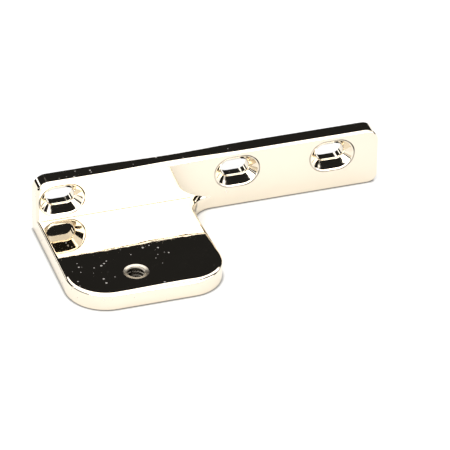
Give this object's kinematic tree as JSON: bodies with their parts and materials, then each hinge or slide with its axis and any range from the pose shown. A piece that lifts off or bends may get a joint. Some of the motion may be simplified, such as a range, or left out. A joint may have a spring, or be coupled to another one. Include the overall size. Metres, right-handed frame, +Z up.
{
  "type": "hinge bracket",
  "caption": "L-shaped polished bracket with a long upright leg of countersunk slots and a round-cornered flange with a tapped hole.",
  "frame": {"origin": "centre of the bracket's footprint, level with the flange's underside", "axes": "+X along the leg, from its flange end to its free end; +Y out of the leg's back, into the wall it is screwed to; +Z up, along the tapped hole"},
  "size_m": [0.1088, 0.0484, 0.0191],
  "materials": {
    "polished_plate": "mirror polished, with a faint warm tint"
  },
  "bodies": {
    "root": {"hinge_bracket": "polished_plate"}
  },
  "joints": []
}
